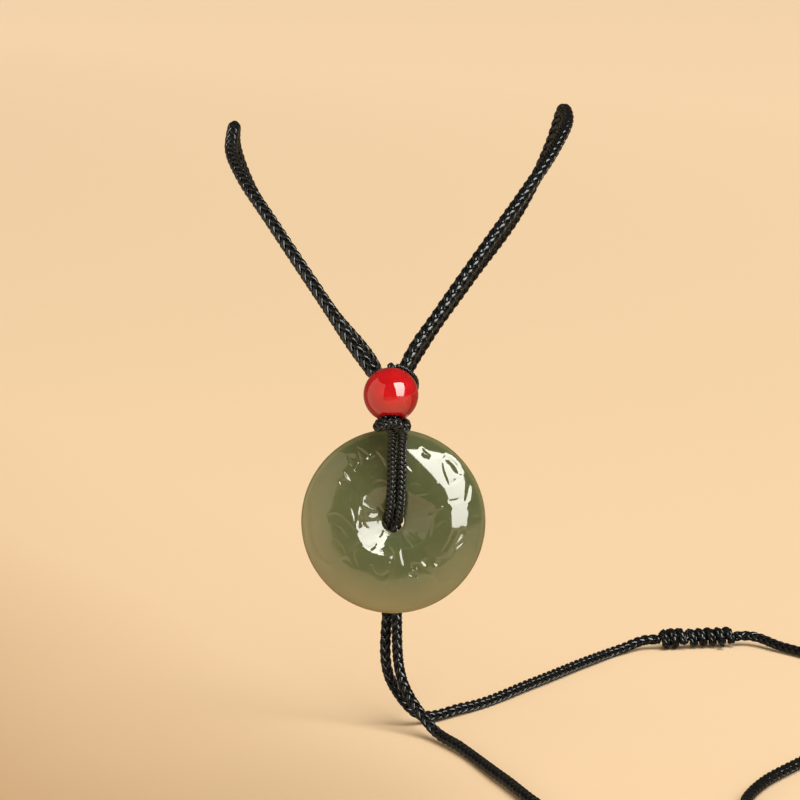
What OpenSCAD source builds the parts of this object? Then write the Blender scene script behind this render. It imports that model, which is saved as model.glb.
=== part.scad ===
// Jade pendant on a braided cord: a carved jade ring held by a thin loop cord
// that runs through a coral bead and over the bend of the neck cord.
// Millimetres, +Z up, front towards -Y. The origin lies midway between the
// two crests where the neck cord passes over the shoulders.

/* [Jade disc] */
// Outer diameter of the disc
disc_d = 28; // [22:0.5:34]
// Thickness of the disc at its fullest ring
disc_t = 7.2; // [5:0.2:9]
// Diameter of the hole in the middle
disc_hole = 3.3; // [3.2:0.1:4.4]
// Height of the carved relief
relief_h = 0.3; // [0.1:0.05:0.6]
// Number of carved cloud sweeps round the face
relief_sweeps = 7; // [5:1:9]
// Lean of the face, upwards, in degrees
disc_lean = 9; // [6:0.5:11]
// Turn of the face, to the right, in degrees
disc_turn = 1; // [0:0.5:4]

/* [Coral bead] */
// Diameter of the bead
bead_d = 8.2; // [7.4:0.1:9.5]
// Diameter of its bore
bead_hole = 3.2; // [3.1:0.1:3.8]
// Lean of the bore, its top to the back, in degrees
bead_tilt = 25; // [20:1:30]
// Height of the bead's centre over the disc's rim
bead_rise = 6.35; // [6.2:0.05:7.4]

/* [Cords] */
// Diameter of the braided neck cord
neck_d = 2.6; // [2.2:0.1:2.8]
// Diameter of the thin loop cord on the disc
thin_d = 1.45; // [1.2:0.05:1.5]
// Diameter of the tie thread over the bend of the neck cord
tie_d = 1.1; // [0.9:0.05:1.2]
// Diameter of the thinner bow beside the bead
bow_d = 0.9; // [0.7:0.05:1]

/* [Knots] */
// Length of the closure knot
knot_len = 16; // [12:0.5:20]
// Diameter of the closure knot over its wraps
knot_d = 4.4; // [3.8:0.1:5]
// Number of wraps on the closure knot
knot_wraps = 6; // [4:1:8]
// Length of the small knot behind the bead
tie_knot_len = 3; // [2.4:0.1:3.4]
// Diameter of the small knot behind the bead
tie_knot_d = 2.7; // [2.3:0.1:2.8]

/* [Hidden] */
$fn = 72;

// Clearance between neighbouring strands and the faces they lie on
lie_gap = 0.06;
// Running clearance of the tie thread round the neck cord
swing_gap = 0.3;
// Height of the surface that the free end of the cord lies on
floor_z = -117;

disc_r = disc_d / 2;
hole_r = disc_hole / 2;
bead_r = bead_d / 2;
neck_r = neck_d / 2;
thin_r = thin_d / 2;
tie_r = tie_d / 2;

// The bend of the neck cord that carries the drop, and the axis it swings on
bight = [-1.2, -49.1, -36.6];
bight_half = 1;
// The bead lies in front of the bend, against the neck cord
bead_drop = 1.3;
bead_side = -0.15;
bead_gap = 0.15;
bead_ahead = sqrt(pow(bead_r + neck_r + bead_gap, 2) - pow(bead_drop, 2));
bead_at = bight + [bead_side, -bead_ahead, -bead_drop];
// The disc hangs with its weight under the bend
disc_side = 0.35;
disc_back = 0.3;
disc_at = [bead_at[0] + disc_side, bight[1] + disc_back, bead_at[2] - bead_rise - disc_r];

// Small vector helpers
function unit(v) = v / norm(v);
function turn_x(p, a) = [p[0], p[1] * cos(a) - p[2] * sin(a), p[1] * sin(a) + p[2] * cos(a)];
function turn_z(p, a) = [p[0] * cos(a) - p[1] * sin(a), p[0] * sin(a) + p[1] * cos(a), p[2]];
function backwards(list) = [for (i = [len(list) - 1 : -1 : 0]) list[i]];
function on_disc(p) = disc_at + turn_z(turn_x(p, -disc_lean), disc_turn);

// Tubes: rings square to the route, each turned as little as possible from the last
function heading(pts, i) =
    i == 0 ? unit(pts[1] - pts[0]) :
    i == len(pts) - 1 ? unit(pts[i] - pts[i - 1]) :
    unit(unit(pts[i + 1] - pts[i]) + unit(pts[i] - pts[i - 1]));
function squared(u, t) = unit(u - (u * t) * t);
function first_side(t) = squared(abs(t[2]) < 0.7 ? [0, 0, 1] : [1, 0, 0], t);
function side_list(pts) = [
    for (i = 0, u = first_side(heading(pts, 0)); i < len(pts);
         i = i + 1, u = i < len(pts) ? squared(u, heading(pts, i)) : u) u
];

module tube(pts, d, sides = 8) {
    across = side_list(pts);
    n = len(pts);
    rings = [
        for (i = [0 : n - 1], k = [0 : sides - 1])
            let (t = heading(pts, i), a = 360 * k / sides)
                pts[i] + d / 2 * (cos(a) * across[i] + sin(a) * cross(t, across[i]))
    ];
    walls = [
        for (i = [0 : n - 2], k = [0 : sides - 1], half = [0, 1])
            let (a = i * sides + k, b = i * sides + (k + 1) % sides)
                half == 0 ? [a, a + sides, b] : [b, a + sides, b + sides]
    ];
    start_cap = [[for (k = [0 : sides - 1]) k]];
    end_cap = [[for (k = [sides - 1 : -1 : 0]) (n - 1) * sides + k]];
    polyhedron(points = rings, faces = concat(walls, start_cap, end_cap), convexity = 10);
}

// Jade disc. Its section is a roof with a rounded crest, which turns round at
// the rim and falls to the hole like a funnel.
around = 96;
crest_r = disc_r * 0.52;
crest_round = 1.2;
outer_w = disc_r - crest_r;
// Height of the roof's line at the rim, as a share of its height at the crest
rim_share = 0.34;
rim_power = 5;
roof_slope = (1 - rim_share) * disc_t / 2 / (norm([outer_w, crest_round]) - crest_round);
// Places of the section's points: shares of the way out, then turns round the rim
face_shares = [0, 0.2, 0.4, 0.58, 0.72];
rim_turns = [55, 40, 25, 12, 0];
funnel_steps = 7;
lip_round = 0.35;

function roof(r) = disc_t / 2 - roof_slope * (norm([r - crest_r, crest_round]) - crest_round);
function face_y(x) = roof(crest_r + outer_w * x) * sqrt(1 - pow(x, rim_power));
function outer_point(x) = [crest_r + outer_w * x, face_y(x)];
function inner_point(s) =
    let (r = crest_r - (crest_r - hole_r - lip_round) * s) [r, roof(r)];
lip_y = roof(hole_r + lip_round);

front_half = concat(
    [[hole_r, lip_y - lip_round]],
    [for (j = [funnel_steps : -1 : 1]) inner_point(j / funnel_steps)],
    [for (x = face_shares) outer_point(x)],
    [for (a = rim_turns) outer_point(pow(cos(a), 2 / rim_power))]
);
function mirrored(half) = [for (i = [len(half) - 2 : -1 : 0]) [half[i][0], -half[i][1]]];
section = concat(front_half, mirrored(front_half));

// Carved cloud sweeps: lobes that curl as they run outwards, faded in and out
// between the funnel and the smooth bevel
relief_in = 0.27;
relief_out = 0.86;
fade_power = 0.8;
sweep_curl = 420;
sweep_share = 0.3;
cross_sweeps = relief_sweeps + 4;
cross_curl = -560;
cross_share = 0.2;
function fade(q) =
    q <= relief_in || q >= relief_out ? 0 :
    pow(sin(180 * (q - relief_in) / (relief_out - relief_in)), fade_power);
function sweeps(q, a) =
    sweep_share + cross_share + sweep_share * sin(relief_sweeps * a + sweep_curl * q)
    + cross_share * sin(cross_sweeps * a + cross_curl * q);
function relief(r, a) = relief_h * fade(r / disc_r) * sweeps(r / disc_r, a);

module jade_disc() {
    m = len(section);
    pts = [
        for (i = [0 : around - 1], j = [0 : m - 1])
            let (a = 360 * i / around, r = section[j][0], y = section[j][1],
                 lift = y > lip_y / 2 ? relief(r, a) : 0)
                on_disc([r * cos(a), -(y + lift), r * sin(a)])
    ];
    faces = [
        for (i = [0 : around - 1], j = [0 : m - 1], half = [0, 1])
            let (i2 = (i + 1) % around, j2 = (j + 1) % m,
                 a = i * m + j, b = i * m + j2, c = i2 * m + j2, d = i2 * m + j)
                half == 0 ? [a, c, b] : [a, d, c]
    ];
    color([0.45, 0.5, 0.35]) polyhedron(points = pts, faces = faces, convexity = 6);
}

module coral_bead() {
    color([0.78, 0.08, 0.08])
        translate(bead_at) rotate([-bead_tilt, 0, 0])
            difference() {
                sphere(d = bead_d);
                cylinder(d = bead_hole, h = 2 * bead_d, center = true);
            }
}

// Thin loop cord. One half runs from the bead down the face of the disc,
// through the hole, up the back, over the rim and across the front of both
// strands. The other half is its mirror image. Side is 1 or -1.
strand_x = thin_r + lie_gap / 2;
face_lie = disc_t / 2 + relief_h + thin_r;
back_lie = disc_t / 2 + thin_r + lie_gap;
// Height of a strand that lies on the back's outer slope, a share of the way out
function slope_lie(x) = face_y(x) + thin_r + 3 * lie_gap;
lip_lie = lip_y + thin_r;
rim_lie = disc_r + thin_r + lie_gap;

// A point in the bead, some way along its leaning bore
function in_bead(x, along) = bead_at + [x, along * sin(bead_tilt), along * cos(bead_tilt)];

bead_share = [0.6, 0, -1.14];
// Both strands sway to the right where they run down the face, and a little to the left over the rim
sway = 0.45;
// Each row: shares of strand_x, the place in depth and height, and shares of the sway
disc_lead = [
    [1, -face_lie - 3.6, disc_r - 0.2, 1],
    [1, -face_lie - 1.2, disc_r * 0.78, 1],
    [1, -face_lie, crest_r, 0.95],
    [1, -face_lie + 0.35, crest_r * 0.6, 0.75],
    [1, -lip_lie - 0.55, hole_r + 0.15, 0.3],
    [1, -lip_lie + 0.25, hole_r * 0.45],
    [1, 0, hole_r * 0.1],
    [1, lip_lie - 0.25, hole_r * 0.45],
    [1, lip_lie + 0.55, hole_r + 0.15],
    [1.1, back_lie - 0.35, crest_r * 0.62],
    [1.3, back_lie, crest_r],
    [1.8, slope_lie(0.4), crest_r + outer_w * 0.45],
    [2.3, slope_lie(0.72), crest_r + outer_w * 0.78],
    [2.6, slope_lie(0.97) + 0.05, rim_lie - 0.55],
    [2.6, -0.6, rim_lie + 0.05, -0.2],
    [2.4, -back_lie + 0.2, rim_lie + 0.1, -0.4],
    [2.35, -face_lie - 2, rim_lie + 0.1, -0.4]
];
function half_route(side) = concat(
    [for (q = bead_share) in_bead(side * strand_x, bead_r * q)],
    [for (p = disc_lead) on_disc([side * strand_x * p[0] + (len(p) > 3 ? sway * p[3] : 0), p[1], p[2]])],
    [in_bead(side * band_half, -bead_r) + [0.1, -1.35, -0.6]]
);
// Half of the band's width, where it turns across the strands
band_half = 1.65;
// Middle of the band, in front of both strands and against the bead
band_mid = in_bead(0, -bead_r) + [0.2, -thin_d - lie_gap, 0];

module hanging_cord() {
    color([0.06, 0.06, 0.06])
        tube(concat(half_route(1), [band_mid], backwards(half_route(-1))), thin_d);
}

// Tie thread behind the bead: one turn over the bend of the neck cord, the
// small knot under the bend, and a short thinner bow beside the bead
eye_r = neck_r + swing_gap + tie_r;
tie_knot_gap = 0.95;
tie_knot_at = bight + [0, -0.3, -neck_r - tie_knot_d / 2 - tie_knot_gap];
eye_turn = [70, 110, 150, 190, 225];
function on_eye(a) = bight + [0, -eye_r * cos(a), eye_r * sin(a)];
tie_route = concat(
    [in_bead(0, bead_r * 0.72), in_bead(0, bead_r * 1.12), bead_at + [0, bead_r * 0.84, bead_r * 0.94]],
    [for (a = eye_turn) on_eye(a)],
    [tie_knot_at + [0, 0.3, 0.2]]
);
// Shares of the bead's radius, from the small knot round the right side
bow_shares = [
    [0.25, 1.24, -0.56], [0.66, 1.2, -0.41], [0.9, 1.1, -0.05], [0.93, 0.98, 0.37],
    [0.76, 0.8, 0.73], [0.49, 0.66, 0.95], [0.2, 0.56, 1.02]
];
bow_route = [for (p = bow_shares) bead_at + p * bead_r];

module knot_body(len, d, wraps) {
    pitch = len / wraps;
    rotate_extrude() {
        intersection() {
            for (i = [0 : wraps - 1])
                translate([d / 2 - pitch / 2, (i + 0.5) * pitch - len / 2]) circle(d = pitch);
            translate([0, -len / 2]) square([d / 2, len]);
        }
        translate([0, -len / 2]) square([d / 2 - pitch / 3, len]);
    }
}

module junction_knot() {
    color([0.06, 0.06, 0.06]) union() {
        tube(tie_route, tie_d);
        tube(bow_route, bow_d);
        translate(tie_knot_at) rotate([0, 90, 0]) knot_body(tie_knot_len, tie_knot_d, 3);
    }
}

// Closure knot, lying where the free end of the neck cord rests
knot_left = [53.7, 109.7, floor_z + knot_d / 2];
knot_turn = 9.5;
knot_dir = [cos(knot_turn), sin(knot_turn), 0];
knot_right = knot_left + knot_len * knot_dir;
// Trimmed end of the wrapping thread, which stands out at the front
end_d = 1.5;
end_tip_d = 1;
end_out = 1.3;
end_along = knot_len * 0.3;
end_lean = 98;

module closure_knot() {
    color([0.06, 0.06, 0.06])
        translate(knot_left + knot_len / 2 * knot_dir) rotate([0, 0, knot_turn]) {
            rotate([0, 90, 0]) knot_body(knot_len, knot_d, knot_wraps);
            translate([end_along, 0, 0]) rotate([end_lean, 0, 0])
                cylinder(d1 = end_d, d2 = end_tip_d, h = knot_d / 2 + end_out);
        }
}

// Neck cord: the floor to the left crest, the front, the right crest, and
// back to the floor
low = floor_z + neck_r;
knot_lead = 2.6;
neck_route = [
    knot_left, knot_left - knot_lead * knot_dir,
    [45.5, 105.2, low], [38, 95, low], [26, 77, low], [12, 58, low], [3, 49.5, low + 1.3],
    [-1.6, 48, -108], [-2.3, 47.7, -92], [-2.3, 47.4, -74], [-2.6, 44.4, -59], [-4, 38.8, -48.3],
    [-12, 32, -36.5], [-20, 23, -23.2], [-25.6, 12, -12.2], [-27.5, 3.5, -4.6], [-27.2, -2, -1.6],
    [-27.4, -9, -4.6], [-25.4, -18, -8.1], [-20, -29.5, -14.6], [-11.7, -41, -25.4],
    [-5.3, -47.5, -34], [-3.6, -48.8, -35.9],
    bight - [bight_half, 0, 0], bight + [bight_half, 0, 0],
    [0.6, -48.5, -35.1], [1.5, -47.4, -33.3],
    [5.8, -42.1, -27.6], [12.7, -33.8, -18.9], [19.9, -22.8, -10.4], [24.9, -12.6, -4.3],
    [27.4, -4, -0.3], [27, 2.5, 0.9], [25.4, 7.5, -4.8], [20.6, 16, -16.6], [12, 28, -30.6],
    [4.6, 35.5, -42.4], [0.9, 39.6, -49.8], [-0.4, 42.6, -61], [-0.65, 45.2, -75], [-0.65, 45.4, -93],
    [0.8, 44.6, -108], [5.6, 40, low + 1.3], [11, 30, low], [18, 10, low], [27, -13, low],
    [38, -25, low], [49, -24, low], [57, -13, low], [59.4, -1, low], [63.2, 8, low],
    [71, 20.2, low], [83, 38, low], [91, 58, low], [91.5, 80, low], [86.5, 96, low],
    [78.5, 107, low], knot_right + knot_lead * knot_dir, knot_right
];

module neck_cord() {
    color([0.06, 0.06, 0.06]) tube(neck_route, neck_d);
}

jade_disc();
coral_bead();
hanging_cord();
junction_knot();
neck_cord();
closure_knot();
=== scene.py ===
import math
import bpy
import numpy as np
from mathutils import Matrix


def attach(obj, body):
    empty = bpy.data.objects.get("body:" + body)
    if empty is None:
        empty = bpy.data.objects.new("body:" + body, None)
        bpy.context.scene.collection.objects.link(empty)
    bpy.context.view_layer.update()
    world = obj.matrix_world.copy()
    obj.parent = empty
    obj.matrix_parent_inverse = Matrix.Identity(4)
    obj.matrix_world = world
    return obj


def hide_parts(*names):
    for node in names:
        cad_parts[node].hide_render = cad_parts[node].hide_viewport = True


# Jade disc pendant on a braided neck cord, dressed over its CAD frame. Braids, finishes and
# lights are in metres. Routes, the bead and the disc are worked out in millimetres first

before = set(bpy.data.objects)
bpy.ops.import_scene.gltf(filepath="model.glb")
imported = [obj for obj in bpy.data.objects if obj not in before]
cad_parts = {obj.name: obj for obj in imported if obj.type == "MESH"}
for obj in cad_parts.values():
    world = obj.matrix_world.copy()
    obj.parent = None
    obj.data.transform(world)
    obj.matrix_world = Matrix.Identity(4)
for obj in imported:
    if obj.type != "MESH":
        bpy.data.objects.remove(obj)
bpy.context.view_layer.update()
scene = bpy.context.scene

viewpoint = {
    "place": (0.0, -0.4991, 0.0317),
    "pitch": 81.0,    # degrees from straight down
    "lens": 135.9,
    "sensor": 36.0,
}
cameraData = bpy.data.cameras.new("viewCamera")
cameraData.lens = viewpoint["lens"]
cameraData.sensor_width = viewpoint["sensor"]
cameraData.clip_end = 60.0
camera = bpy.data.objects.new("viewCamera", cameraData)
camera.location = viewpoint["place"]
camera.rotation_euler = (math.radians(viewpoint["pitch"]), 0.0, 0.0)
scene.collection.objects.link(camera)
scene.camera = camera
print("stage: camera")


def fromMm(rows):
    # Rows in millimetres, as metres
    return np.array(rows, dtype=float) * 0.001


def unit(rows):
    # Each row, divided by its length
    return rows / np.linalg.norm(rows, axis=-1, keepdims=True)


def smoothLine(corners, step):
    # A cubic piece between each two corners, whose end slopes weigh the spans beside
    # them, cut again into even steps along the curve
    spans = np.linalg.norm(np.diff(corners, axis=0), axis=1)[:, None]
    slopes = np.diff(corners, axis=0) / spans
    middle = (spans[:-1] * slopes[1:] + spans[1:] * slopes[:-1]) / (spans[:-1] + spans[1:])
    ends = np.vstack([slopes[:1], middle, slopes[-1:]])
    t = np.linspace(0, 1, 24, endpoint=False)[:, None, None]
    curve = (
        (2 * t**3 - 3 * t**2 + 1) * corners[:-1]
        + (t**3 - 2 * t**2 + t) * spans * ends[:-1]
        + (3 * t**2 - 2 * t**3) * corners[1:]
        + (t**3 - t**2) * spans * ends[1:]
    )
    dense = np.vstack([curve.transpose(1, 0, 2).reshape(-1, corners.shape[1]), corners[-1:]])
    reach = np.append(0, np.cumsum(np.linalg.norm(np.diff(dense, axis=0), axis=1)))
    stops = np.linspace(0, reach[-1], max(3, round(reach[-1] / step) + 1))
    return np.stack([np.interp(stops, reach, dense[:, k]) for k in range(corners.shape[1])], axis=1)


def lineLength(line):
    # The sum of the steps along the line
    return float(np.linalg.norm(np.diff(line, axis=0), axis=1).sum())


def carriedSides(line):
    # The first side is level, and each next one is the last, turned as little as the line turns
    ahead = unit(np.gradient(line, axis=0))
    start = np.cross(ahead[0], (0.0, 0.0, 1.0))
    if np.linalg.norm(start) < 0.1:
        start = np.cross(ahead[0], (0.0, 1.0, 0.0))
    side = np.empty_like(line)
    side[0] = unit(start)
    for k in range(1, len(line)):
        turned = side[k - 1] - side[k - 1].dot(ahead[k]) * ahead[k]
        side[k] = turned / np.linalg.norm(turned)
    return side, np.cross(ahead, side)


def tubeFaces(tubes, rings, sides):
    # Quads round each tube, ring to ring, with a corner's place along (u) and round (v)
    tube, ring, k = np.meshgrid(np.arange(tubes), np.arange(rings - 1), np.arange(sides), indexing="ij")
    base = tube * rings * sides + ring * sides
    after = (k + 1) % sides
    quads = np.stack([base + k, base + after, base + sides + after, base + sides + k], axis=-1)
    u = np.stack([ring, ring, ring + 1, ring + 1], axis=-1)
    v = np.stack([k, k + 1, k + 1, k], axis=-1) / sides
    caps = [np.arange(sides)[::-1] + t * rings * sides for t in range(tubes)]
    caps += [np.arange(sides) + ((t + 1) * rings - 1) * sides for t in range(tubes)]
    return quads.reshape(-1, 4), np.stack([u, v], axis=-1).reshape(-1, 4, 2), np.array(caps)


def makePiece(name, points, quads, finish, corners=None, caps=None):
    # Quads and end caps as one smooth mesh, with the corners' places as its UV map
    mesh = bpy.data.meshes.new(name)
    points = points.reshape(-1, 3)
    mesh.vertices.add(len(points))
    mesh.vertices.foreach_set("co", points.ravel())
    loops = quads.ravel()
    sizes = np.full(len(quads), quads.shape[1])
    if caps is not None:
        loops = np.append(loops, caps.ravel())
        sizes = np.append(sizes, np.full(len(caps), caps.shape[1]))
    mesh.loops.add(len(loops))
    mesh.loops.foreach_set("vertex_index", loops.astype(np.int32))
    mesh.polygons.add(len(sizes))
    mesh.polygons.foreach_set("loop_start", (np.cumsum(sizes) - sizes).astype(np.int32))
    if corners is not None:
        placed = np.zeros((len(loops), 2))
        placed[: corners.size // 2] = corners.reshape(-1, 2)
        mesh.uv_layers.new(name="alongRound").data.foreach_set("uv", placed.ravel())
    mesh.update(calc_edges=True)
    mesh.validate()
    mesh.polygons.foreach_set("use_smooth", np.ones(len(mesh.polygons), dtype=bool))
    mesh.materials.append(finish)
    piece = bpy.data.objects.new(name, mesh)
    scene.collection.objects.link(piece)
    return piece


def braidStrands(line, braid):
    # Strand centres wind round the line, half of them each way. A strand's distance from
    # the line swings out where it crosses over the others and in where it goes under
    count, over = braid["strands"], braid["over"]
    step = lineLength(line) / (len(line) - 1)
    along = np.arange(len(line)) * step
    half = count // 2
    hand = np.repeat([1.0, -1.0], half)[:, None]
    index = np.tile(np.arange(half), 2)[:, None]
    angle = 2 * math.pi * (index / half + hand * along / braid["lead"])
    crossing = along * count / braid["lead"]
    phase = np.where(hand > 0, crossing + 2 * index, 2 * index - crossing)
    swing = np.cos(math.pi * (phase - (over - 1) / 2) / over)
    swing = swing * math.sqrt(1 + braid["flat"]) / np.sqrt(swing**2 + braid["flat"])
    far = braid["radius"] + braid["swing"] * hand * swing
    side, other = carriedSides(line)
    outward = np.cos(angle)[..., None] * side + np.sin(angle)[..., None] * other
    centres = line + far[..., None] * outward
    ahead = unit(np.gradient(centres, axis=1))
    across = unit(np.cross(ahead, outward))
    upward = np.cross(across, ahead)
    turn = 2 * math.pi * np.arange(braid["sides"]) / braid["sides"]
    section = (
        braid["width"] / 2 * np.cos(turn)[:, None] * across[:, :, None]
        + braid["height"] / 2 * np.sin(turn)[:, None] * upward[:, :, None]
    )
    points = centres[:, :, None] + section
    quads, corners, caps = tubeFaces(count, len(line), braid["sides"])
    corners[..., 0] *= step * 1000
    return points.reshape(-1, 3), quads, corners, caps


def roundTube(line, diameter, sides):
    # Rings of one size carried along the line
    side, other = carriedSides(line)
    turn = 2 * math.pi * np.arange(sides) / sides
    ring = np.cos(turn)[:, None] * side[:, None] + np.sin(turn)[:, None] * other[:, None]
    quads, corners, caps = tubeFaces(1, len(line), sides)
    corners[..., 0] *= lineLength(line) / (len(line) - 1) * 1000
    return (line[:, None] + diameter / 2 * ring).reshape(-1, 3), quads, corners, caps


def bothIn(first, second):
    # One set of points, quads and corners out of two with the same number of sides
    return (
        np.vstack([first[0], second[0]]),
        np.vstack([first[1], second[1] + len(first[0])]),
        np.vstack([first[2], second[2]]),
        np.vstack([first[3], second[3] + len(first[0])]),
    )


def braidedPiece(name, corners, braid, finish):
    # The strands over a plain core, which keeps the view from passing between them
    line = smoothLine(corners, braid["step"])
    core = smoothLine(corners, braid["step"] * 3)
    parts = bothIn(braidStrands(line, braid), roundTube(core, braid["core"], braid["sides"]))
    return makePiece(name, parts[0], parts[1], finish, parts[2], parts[3]), line


def newFinish(name):
    finish = bpy.data.materials.new(name)
    finish.use_nodes = True
    tree = finish.node_tree
    return finish, tree, tree.nodes["Principled BSDF"]


def ramp(tree, source, stops):
    # A colour for each value, from stops of place and colour
    made = tree.nodes.new("ShaderNodeValToRGB")
    for k, (place, colour) in enumerate(stops):
        spot = made.color_ramp.elements[k] if k < 2 else made.color_ramp.elements.new(place)
        spot.position = place
        spot.color = (*colour, 1.0)
    tree.links.new(source, made.inputs["Fac"])
    return made.outputs["Color"]


def rangeOf(tree, source, low, high, fromLow=0.0, fromHigh=1.0):
    # The source's span, stretched to run from low to high and held there
    made = tree.nodes.new("ShaderNodeMapRange")
    made.inputs["From Min"].default_value = fromLow
    made.inputs["From Max"].default_value = fromHigh
    made.inputs["To Min"].default_value = low
    made.inputs["To Max"].default_value = high
    tree.links.new(source, made.inputs["Value"])
    return made.outputs["Result"]


def noiseOf(tree, source, scale, detail=3.0, rough=0.5):
    # Soft random patches, which shrink as the scale grows
    made = tree.nodes.new("ShaderNodeTexNoise")
    made.inputs["Scale"].default_value = scale
    made.inputs["Detail"].default_value = detail
    made.inputs["Roughness"].default_value = rough
    tree.links.new(source, made.inputs["Vector"])
    return made.outputs["Fac"]


def sums(tree, how, first, second):
    # One step of arithmetic on two values or sockets
    made = tree.nodes.new("ShaderNodeMath")
    made.operation = how
    for k, term in enumerate((first, second)):
        if isinstance(term, (int, float)):
            made.inputs[k].default_value = term
        else:
            tree.links.new(term, made.inputs[k])
    return made.outputs["Value"]


def bumpOn(tree, shader, height, strength, distance):
    made = tree.nodes.new("ShaderNodeBump")
    made.inputs["Strength"].default_value = strength
    made.inputs["Distance"].default_value = distance
    tree.links.new(height, made.inputs["Height"])
    tree.links.new(made.outputs["Normal"], shader.inputs["Normal"])


def waxedThread(name, thread):
    # Black waxed thread: two plies that wind along the strand, fine fibres laid along the
    # plies, and a slow change of shade and of gloss
    finish, tree, shader = newFinish(name)
    links = tree.links
    uv = tree.nodes.new("ShaderNodeUVMap")
    uv.uv_map = "alongRound"
    split = tree.nodes.new("ShaderNodeSeparateXYZ")
    links.new(uv.outputs["UV"], split.inputs["Vector"])
    wound = sums(tree, "ADD", sums(tree, "DIVIDE", split.outputs["X"], thread["ply"]), split.outputs["Y"])
    ply = sums(tree, "ABSOLUTE", sums(tree, "SINE", sums(tree, "MULTIPLY", wound, 2 * math.pi), 0.0), 0.0)
    fibreWind = sums(tree, "MULTIPLY", wound, thread["fibres"])
    joined = tree.nodes.new("ShaderNodeCombineXYZ")
    links.new(fibreWind, joined.inputs["X"])
    links.new(sums(tree, "MULTIPLY", split.outputs["X"], 0.9), joined.inputs["Y"])
    fibres = noiseOf(tree, joined.outputs["Vector"], 1.0, 2.0)
    height = sums(tree, "ADD", sums(tree, "MULTIPLY", ply, 0.7), sums(tree, "MULTIPLY", fibres, 0.5))
    bumpOn(tree, shader, height, thread["bump"], thread["relief"])
    place = tree.nodes.new("ShaderNodeTexCoord")
    patches = noiseOf(tree, place.outputs["Object"], thread["patches"], 3.0)
    mixed = sums(tree, "ADD", sums(tree, "MULTIPLY", patches, 0.6), sums(tree, "MULTIPLY", fibres, 0.4))
    links.new(ramp(tree, mixed, thread["shades"]), shader.inputs["Base Color"])
    links.new(rangeOf(tree, mixed, *thread["gloss"], 0.3, 0.7), shader.inputs["Roughness"])
    shader.inputs["Specular IOR Level"].default_value = thread["shine"]
    shader.inputs["Specular Tint"].default_value = (*thread["tint"], 1.0)
    return finish


# Neck cord: one line from the closure knot's left end, over its two crests, and back
neckCord = {
    "diameter": 0.0026,
    "strands": 8,
    "over": 2,            # strands crossed at a time
    "lead": 0.0072,       # length of one turn of a strand
    "radius": 0.00064,    # from the cord's line to the middle of a strand
    "swing": 0.0002,      # how far a strand goes out and in as it crosses
    "flat": 0.3,          # less is a quicker step from out to in
    "width": 0.0009,      # of a strand's section
    "height": 0.0005,
    "core": 0.00105,
    "sides": 6,
    "step": 0.0004,
}
floorLevel = -117.0
neckRadius = 1.3
onFloor = floorLevel + neckRadius
knotLength = 16.0
knotRadius = 2.2
knotLead = 2.6      # straight stretch of cord beside the closure knot
knotTurn = math.radians(9.5)
knotLeft = np.array([53.7, 109.7, floorLevel + knotRadius])
knotAhead = np.array([math.cos(knotTurn), math.sin(knotTurn), 0.0])
knotRight = knotLeft + knotLength * knotAhead
bight = np.array([-1.2, -49.1, -36.6])
neckCorners = fromMm([
    knotLeft, knotLeft - knotLead * knotAhead,
    (45.5, 105.2, onFloor), (38, 95, onFloor), (26, 77, onFloor), (12, 58, onFloor), (3, 49.5, onFloor + 1.3),
    (-1.6, 48, -108), (-2.3, 47.7, -92), (-2.3, 47.4, -74), (-2.6, 44.4, -59), (-4, 38.8, -48.3),
    (-12, 32, -36.5), (-20, 23, -23.2), (-25.6, 12, -12.2), (-27.5, 3.5, -4.6), (-27.2, -2, -1.6),
    (-27.4, -9, -4.6), (-25.4, -18, -8.1), (-20, -29.5, -14.6), (-11.7, -41, -25.4),
    (-5.3, -47.5, -34), (-3.6, -48.8, -35.9), bight - (1, 0, 0), bight + (1, 0, 0),
    (0.6, -48.5, -35.1), (1.5, -47.4, -33.3), (5.8, -42.1, -27.6), (12.7, -33.8, -18.9),
    (19.9, -22.8, -10.4), (24.9, -12.6, -4.3), (27.4, -4, -0.3), (27, 2.5, 0.9), (25.4, 7.5, -4.8),
    (20.6, 16, -16.6), (12, 28, -30.6), (4.6, 35.5, -42.4), (0.9, 39.6, -49.8), (-0.4, 42.6, -61),
    (-0.65, 45.2, -75), (-0.65, 45.4, -93), (0.8, 44.6, -108), (5.6, 40, onFloor + 1.3), (11, 30, onFloor),
    (18, 10, onFloor), (27, -13, onFloor), (38, -25, onFloor), (49, -24, onFloor), (57, -13, onFloor),
    (59.4, -1, onFloor), (63.2, 8, onFloor), (71, 20.2, onFloor), (83, 38, onFloor), (91, 58, onFloor),
    (91.5, 80, onFloor), (86.5, 96, onFloor), (78.5, 107, onFloor),
    knotRight + knotLead * knotAhead, knotRight,
])
wax = {"gloss": (0.1, 0.2), "tint": (0.84, 0.93, 0.97)}
neckThread = waxedThread("neckThread", dict(
    wax, ply=2.2, fibres=9.0, bump=0.6, relief=0.00006, patches=260.0, shine=0.42, shades=[
        (0.3, (0.0018, 0.0021, 0.0027)), (0.55, (0.0034, 0.0038, 0.0048)), (0.75, (0.009, 0.0094, 0.0105)),
    ],
))
neckPiece, neckLine = braidedPiece("neckBraid", neckCorners, neckCord, neckThread)
print("stage: neck cord", round(lineLength(neckLine), 4))

# Hanging cord: up through the bead, down over the disc, through its bore and back
discPlace = np.array([-1.0, -48.8, -58.25])
discLean, discTurn = math.radians(9), math.radians(1)
beadPlace = np.array([-1.35, -54.496, -37.9])
beadLean = math.radians(25)
beadRadius = 4.1


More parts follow.
